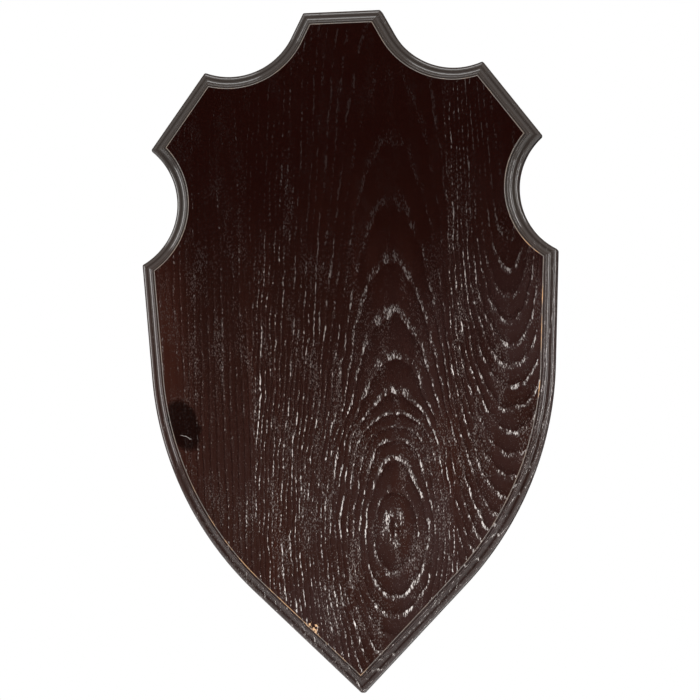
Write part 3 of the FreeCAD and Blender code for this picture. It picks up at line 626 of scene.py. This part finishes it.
def with_edges(look, colour, inset, depth):
    """A painted grey sheen on the moulding and a painted highlight line on the arris, which is rubbed
    to raw wood on two of its runs.
    """
    # Painted reflection: the moulding is greyed where its lacquer reflects the surroundings, more so
    # towards the top edges.
    moulded = look.times(look.span(inset, MOULDING_IN - 0.1, MOULDING_IN + 0.1, 1.0, 0.0),
                         look.span(depth, 7.0, 9.5, 1.0, 0.2),
                         look.span(look.z, -60.0, 100.0, 0.12, 0.5))
    colour = look.blend(colour, PAINTED_MOULDING_SHEEN, moulded)
    off_arris = look.math("ABSOLUTE", look.minus(inset, ARRIS_IN))
    off_arris = look.plus(off_arris, look.times(depth, 0.6))
    arris = look.span(off_arris, 0.12, 0.42, 1.0, 0.0)
    # Painted highlight: a pale grey line along the arris where it catches the side lights.
    colour = look.blend(colour, PAINTED_ARRIS_HIGHLIGHT, look.times(arris, 0.55))
    right_run = look.times(look.span(look.x, 90.0, 110.0), look.span(look.z, 80.0, 60.0),
                           look.span(look.z, -60.0, -35.0))
    left_foot = look.times(look.span(look.x, 10.0, -10.0), look.span(look.z, -70.0, -110.0), 0.7)
    rubbed = look.plus(look.math("MAXIMUM", right_run, left_foot), 0.10)
    worn = look.span(look.noise(7.0, 22.0, detail=4.0), 0.44, 0.60)
    return look.blend(colour, RAW_EDGE, look.times(arris, worn, rubbed))


def bare_wood(look, grain):
    """Stained back, with dark pores and no lacquer."""
    bare = look.blend(BACK_STAIN, BACK_LIGHT, look.span(look.noise(2.2, 60.0, detail=4.0), 0.3, 0.7))
    bare = look.blend(bare, DARK_STAIN, look.times(look.plus(grain.coarse, grain.fine), 0.6))
    return look.blend(bare, DARK_STAIN, look.times(grain.early, 0.25))


def oak(name, ring_count, pore_zones, marks=None, ring_share=1.0):
    """Stained and lacquered oak.  ring_count, pore_zones and marks are functions of a Look."""
    look = Look(name)
    grain = Grain(look, ring_count(look), ring_share)
    inset = look.add("ShaderNodeAttribute", output="Fac", attribute_name="inset_mm")
    depth = look.add("ShaderNodeAttribute", output="Fac", attribute_name="depth_mm")

    colour = with_pores(look, grain, stain_and_painted_haze(look, grain), pore_zones(look))
    if marks:
        colour = marks(look, colour, inset)
    colour = with_edges(look, colour, inset, depth)
    back = look.span(look.y, -0.60, -0.15)
    colour = look.blend(colour, bare_wood(look, grain), back)

    fuzz = look.times(look.noise(0.30, 3.0, detail=3.0), 0.25)
    orange_peel = look.times(look.noise(2.4, 3.2), 0.22)
    lacquer_height = look.plus(look.times(grain.grooves, 0.55), orange_peel)
    roughness = look.span(look.noise(18.0, 30.0, detail=4.0), 0.3, 0.7, 0.34, 0.46)
    side = look.span(depth, SIDE_DEPTH - 0.5, SIDE_DEPTH + 1.0, 1.0, 0.3)
    over_pores = look.minus(1.0, look.times(grain.coarse, 0.5))
    return look.surface({
        "Base Color": colour,
        "Roughness": look.plus(roughness, look.times(back, 0.25)),
        "IOR": 1.5,
        "Specular IOR Level": 0.01,
        "Normal": look.bump(look.plus(grain.grooves, fuzz), GROOVE_DEPTH, 0.8),
        "Coat Weight": look.times(look.minus(1.0, back), over_pores, side),
        "Coat Roughness": 0.07,
        "Coat IOR": 1.38,
        "Coat Normal": look.bump(lacquer_height, LACQUER_DEPTH, 0.35),
    })


def centre_rings(look):
    return arched_rings(look, CENTRE_STAVE_DEPTHS, **CENTRE_RINGS)


def right_rings(look):
    return arched_rings(look, RIGHT_STAVE_DEPTHS, **RIGHT_RINGS)


def left_rings(look):
    return straight_rings(look, LEFT_RING_SPACING)


def pore_strip(look):
    """A lighter strip of fine pores that slants down across the left glue line."""
    off_strip = look.plus(look.minus(look.x, look.times(look.z, 0.137)), 56.0)
    fading = look.span(look.z, 150.0, 0.0, 0.03, 0.25)
    return look.times(look.span(look.math("ABSOLUTE", off_strip), 3.0, 13.0, 1.0, 0.0), fading)


def centre_zones(look):
    """How strongly the pores show: more towards the foot, most in two patches beside the oval."""
    zones = look.plus(look.span(look.z, 100.0, -110.0, 0.012, 0.90), pore_strip(look))
    beside_oval = patch(look, OVAL_SIDE, 13.0, 42.0, 0.0, 0.7)
    below_oval = patch(look, OVAL_FOOT, 16.0, 14.0, 0.0, 0.7)
    return look.plus(zones, look.times(look.math("MAXIMUM", beside_oval, below_oval), 0.6))


def right_zones(look):
    """More towards the foot, and beside the glue line."""
    beside_glue = look.times(look.span(look.x, 92.0, 68.0), look.span(look.z, 110.0, 20.0, 0.1, 0.4))
    return look.plus(look.span(look.z, 110.0, -60.0, 0.02, 0.75), beside_glue)


def left_zones(look):
    """More towards the foot."""
    return look.plus(look.span(look.z, 150.0, -110.0, 0.03, 0.65), pore_strip(look))


def left_marks(look, colour, inset):
    """A redder edge, and a dark smudge low on the left stave with a thin pale scratch in it."""
    edge = look.span(look.x, -95.0, -122.0)
    colour = look.blend(colour, RED_STAIN, look.times(edge, look.span(look.z, 110.0, 20.0), 0.55))
    smudge = patch(look, SMUDGE_PLACE, 12.0, 19.0, 0.22, 0.25)
    colour = look.blend(colour, SMUDGE, look.times(smudge, 0.85))
    scratch_x, scratch_z = SCRATCH_PLACE
    slanted = look.plus(look.z, look.times(look.minus(look.x, scratch_x), 0.45))
    wander = look.plus(slanted, look.sway(4.0, 4.0, 2.2))
    off_line = look.math("ABSOLUTE", look.minus(wander, scratch_z))
    thin = look.span(off_line, 0.08, 0.30, 1.0, 0.0)
    along = look.times(look.span(look.x, scratch_x - 5.0, scratch_x - 3.0),
                       look.span(look.x, scratch_x + 3.5, scratch_x + 2.0))
    return look.blend(colour, PORE_PALE, look.times(thin, along, 0.45))


def centre_marks(look, colour, inset):
    """Chips of raw wood on the arris low on the left."""
    near = patch(look, CHIPS_PLACE, 6.0, 5.0, 0.0, 0.3)
    off_arris = look.math("ABSOLUTE", look.minus(inset, ARRIS_IN))
    at_arris = look.span(off_arris, 0.3, 0.7, 1.0, 0.0)
    flaked = look.span(look.noise(1.3, 1.3, detail=2.0), 0.53, 0.58)
    return look.blend(colour, RAW_OAK, look.times(near, at_arris, flaked))


# ---------------------------------------------------------------------------
# The hardware's materials
# ---------------------------------------------------------------------------

ZINC = (0.60, 0.60, 0.58, 1.0)
ZINC_TINT = (0.46, 0.45, 0.43, 1.0)
ZINC_WORN = (0.78, 0.77, 0.75, 1.0)
YELLOW_ZINC = (0.66, 0.52, 0.24, 1.0)
YELLOW_ZINC_TINT = (0.56, 0.46, 0.34, 1.0)
YELLOW_ZINC_WORN = (0.80, 0.74, 0.60, 1.0)
DULL_SPECK = (0.16, 0.14, 0.12, 1.0)
BLACK_RUBBER = (0.016, 0.016, 0.017, 1.0)
DUSTY_RUBBER = (0.062, 0.060, 0.057, 1.0)
RUBBED_RUBBER = (0.085, 0.083, 0.080, 1.0)
METAL_EDGE = 0.00025  # how far wear reaches in from an edge, in metres
RUBBER_EDGE = 0.0004


def edge_wear(look, radius):
    """1 on the outer edges of a piece and 0 on its flats."""
    rounded = look.add("ShaderNodeBevel", {"Radius": radius}, samples=6)
    flat = look.add("ShaderNodeNewGeometry", output="Normal")
    turn = look.add("ShaderNodeVectorMath", {0: rounded, 1: flat}, output="Value",
                    operation="DOT_PRODUCT")
    return look.span(turn, 0.995, 0.88)


def metal(name, colour, tint, worn_colour, grain, roughness):
    """Plated steel: blotchy plating, fine drawn grain, brighter edges."""
    look = Look(name)
    blotch = look.span(look.noise(3.5, 3.5, detail=4.0), 0.35, 0.68)
    body = look.blend(colour, tint, blotch)
    specks = look.span(look.noise(0.25, 0.25, detail=3.0), 0.60, 0.74, 0.0, 0.35)
    body = look.blend(body, DULL_SPECK, specks)
    worn = edge_wear(look, METAL_EDGE)
    body = look.blend(body, worn_colour, look.times(worn, 0.7))
    drawn = look.noise(grain, grain * 14.0, detail=3.0)
    pits = look.noise(0.18, 0.18, detail=2.0)
    normal = look.bump(look.plus(drawn, look.times(pits, 0.6)), 0.00004, 0.5)
    rough = look.plus(look.span(look.noise(1.4, 1.4, detail=4.0), 0.3, 0.7, 0.0, 0.16), roughness)
    return look.surface({"Base Color": body, "Metallic": 1.0, "Roughness": rough, "Normal": normal})


def rubber(name):
    """Matt rubber, dusty, paler where it is rubbed."""
    look = Look(name)
    dust = look.span(look.noise(2.4, 2.4, detail=5.0), 0.45, 0.72, 0.0, 0.5)
    body = look.blend(BLACK_RUBBER, DUSTY_RUBBER, dust)
    worn = edge_wear(look, RUBBER_EDGE)
    body = look.blend(body, RUBBED_RUBBER, look.times(worn, 0.5))
    grain = look.plus(look.noise(0.22, 0.22, detail=3.0), look.noise(1.2, 1.2))
    rough = look.span(look.noise(1.8, 1.8, detail=4.0), 0.3, 0.7, 0.58, 0.82)
    normal = look.bump(grain, 0.00006, 0.6)
    return look.surface({"Base Color": body, "Roughness": rough, "Normal": normal})


def keep_cad_node(name, material, round_off):
    """Shows a CAD node with its own material, its edges rounded off."""
    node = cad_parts[name]
    node.data.materials.clear()
    node.data.materials.append(material)
    bevel = node.modifiers.new("edges", "BEVEL")
    bevel.width = round_off * MM
    bevel.segments = 2
    bevel.limit_method = "ANGLE"
    bevel.angle_limit = math.radians(35.0)
    bevel.harden_normals = True
    bevel.use_clamp_overlap = True


# ---------------------------------------------------------------------------
# Everything in place
# ---------------------------------------------------------------------------

board = board_mesh()
make_stave(board, "stave_left", None, -GLUE_LINE,
           oak("oak_left", left_rings, left_zones, left_marks, ring_share=0.55))
make_stave(board, "stave_centre", -GLUE_LINE, GLUE_LINE,
           oak("oak_centre", centre_rings, centre_zones, centre_marks))
make_stave(board, "stave_right", GLUE_LINE, None, oak("oak_right", right_rings, right_zones))
board.free()

zinc = metal("plated_steel", ZINC, ZINC_TINT, ZINC_WORN, grain=0.12, roughness=0.24)
yellow_zinc = metal("screw_steel", YELLOW_ZINC, YELLOW_ZINC_TINT, YELLOW_ZINC_WORN,
                    grain=0.10, roughness=0.20)
black_rubber = rubber("bumper_rubber")
keep_cad_node("hanger_strap", zinc, round_off=0.18)
keep_cad_node("hanger_ring", zinc, round_off=0.05)
for screw in ("hanger_screw_upper", "hanger_screw_lower"):
    keep_cad_node(screw, yellow_zinc, round_off=0.10)
for bumper in ("wall_bumper_left", "wall_bumper_right"):
    keep_cad_node(bumper, black_rubber, round_off=0.30)

# ---------------------------------------------------------------------------
# Floor, light and camera
# ---------------------------------------------------------------------------

FLOOR_LEVEL = -0.75
FLOOR_HALF_WIDTH = 6.0

AZIMUTH = math.radians(6.0)
ELEVATION = math.radians(-3.5)
ROLL = math.radians(1.75)
DISTANCE = 4.0
TARGET = Vector((-0.0026, 0.0, 0.0018))
VIEW_WIDTH = 0.4618  # what the picture spans at the target, in metres
SENSOR_WIDTH = 36.0

LIGHTS = [
    {"name": "left_light", "place": (-1.9, -0.5, 0.35), "width": 0.9, "height": 1.8, "watts": 48.0},
    {"name": "right_light", "place": (1.9, -0.5, 0.35), "width": 0.25, "height": 1.8, "watts": 40.0},
    {"name": "right_strip", "place": (2.0, -2.9, 0.1), "width": 0.18, "height": 1.8, "watts": 26.0},
    {"name": "top_light", "place": (0.0, -0.9, 1.9), "width": 1.8, "height": 0.9, "watts": 42.0},
]


def make_floor():
    """A pale sheet under the object."""
    w = FLOOR_HALF_WIDTH
    data = bpy.data.meshes.new("floor")
    corners = [(-w, -w, FLOOR_LEVEL), (w, -w, FLOOR_LEVEL), (w, w, FLOOR_LEVEL), (-w, w, FLOOR_LEVEL)]
    data.from_pydata(corners, [], [(0, 1, 2, 3)])
    look = Look("pale_floor")
    data.materials.append(look.surface({"Base Color": (0.8, 0.8, 0.79, 1.0), "Roughness": 0.9}))
    floor = bpy.data.objects.new("floor", data)
    bpy.context.scene.collection.objects.link(floor)


def soft_light(name, place, width, height, watts):
    """A soft rectangular light, aimed at the object."""
    data = bpy.data.lights.new(name, "AREA")
    data.shape = "RECTANGLE"
    data.size = width
    data.size_y = height
    data.energy = watts
    light = bpy.data.objects.new(name, data)
    light.location = place
    light.rotation_euler = (-Vector(place)).to_track_quat("-Z", "Y").to_euler()
    bpy.context.scene.collection.objects.link(light)


def make_surroundings():
    """White to the camera.  As light, dark straight ahead of the board's front, dim behind it."""
    world = bpy.data.worlds.new("studio")
    bpy.context.scene.world = world
    world.use_nodes = True
    tree = world.node_tree
    tree.nodes.clear()

    def add(kind, **settings):
        node = tree.nodes.new(kind)
        for key, value in settings.items():
            setattr(node, key, value)
        return node

    def link(source, target):
        tree.links.new(source, target)

    direction = add("ShaderNodeTexCoord").outputs["Generated"]
    split = add("ShaderNodeSeparateXYZ")
    link(direction, split.inputs[0])

    def span(source, low, high, to_low, to_high):
        node = add("ShaderNodeMapRange", interpolation_type="SMOOTHSTEP")
        link(source, node.inputs["Value"])
        values = {"From Min": low, "From Max": high, "To Min": to_low, "To Max": to_high}
        for key, value in values.items():
            node.inputs[key].default_value = value
        return node.outputs[0]

    def join(operation, first, second):
        node = add("ShaderNodeMath", operation=operation)
        link(first, node.inputs[0])
        link(second, node.inputs[1])
        return node.outputs[0]

    _, y, z = split.outputs
    ahead = span(y, -0.985, -0.86, 0.005, 0.95)
    above = span(z, 0.25, 0.65, 0.0, 0.95)
    behind = span(y, -0.45, 0.25, 1.0, 0.05)
    below = span(z, -0.6, 0.0, 0.4, 1.0)
    strength = join("MULTIPLY", join("MULTIPLY", join("MAXIMUM", ahead, above), behind), below)
    lit = add("ShaderNodeBackground")
    lit.inputs["Color"].default_value = (1.0, 0.995, 0.98, 1.0)
    link(strength, lit.inputs["Strength"])
    seen = add("ShaderNodeBackground")
    seen.inputs["Color"].default_value = (1.0, 1.0, 1.0, 1.0)
    path = add("ShaderNodeLightPath")
    choose = add("ShaderNodeMixShader")
    link(path.outputs["Is Camera Ray"], choose.inputs[0])
    link(lit.outputs[0], choose.inputs[1])
    link(seen.outputs[0], choose.inputs[2])
    link(choose.outputs[0], add("ShaderNodeOutputWorld").inputs["Surface"])


def make_camera():
    """A camera on the line of sight, rolled a little about it."""
    back = Vector((math.sin(AZIMUTH) * math.cos(ELEVATION),
                   -math.cos(AZIMUTH) * math.cos(ELEVATION),
                   math.sin(ELEVATION)))
    right = Vector((math.cos(AZIMUTH), math.sin(AZIMUTH), 0.0))
    up = back.cross(right)
    across = right * math.cos(ROLL) - up * math.sin(ROLL)
    upwards = right * math.sin(ROLL) + up * math.cos(ROLL)
    data = bpy.data.cameras.new("camera")
    data.sensor_width = SENSOR_WIDTH
    data.lens = SENSOR_WIDTH * DISTANCE / VIEW_WIDTH
    camera = bpy.data.objects.new("camera", data)
    turned = Matrix((across, upwards, back)).transposed().to_4x4()
    camera.matrix_world = Matrix.Translation(TARGET + back * DISTANCE) @ turned
    bpy.context.scene.collection.objects.link(camera)
    bpy.context.scene.camera = camera


make_floor()
make_surroundings()
for light in LIGHTS:
    soft_light(**light)
make_camera()
bpy.context.scene.view_settings.view_transform = "Standard"
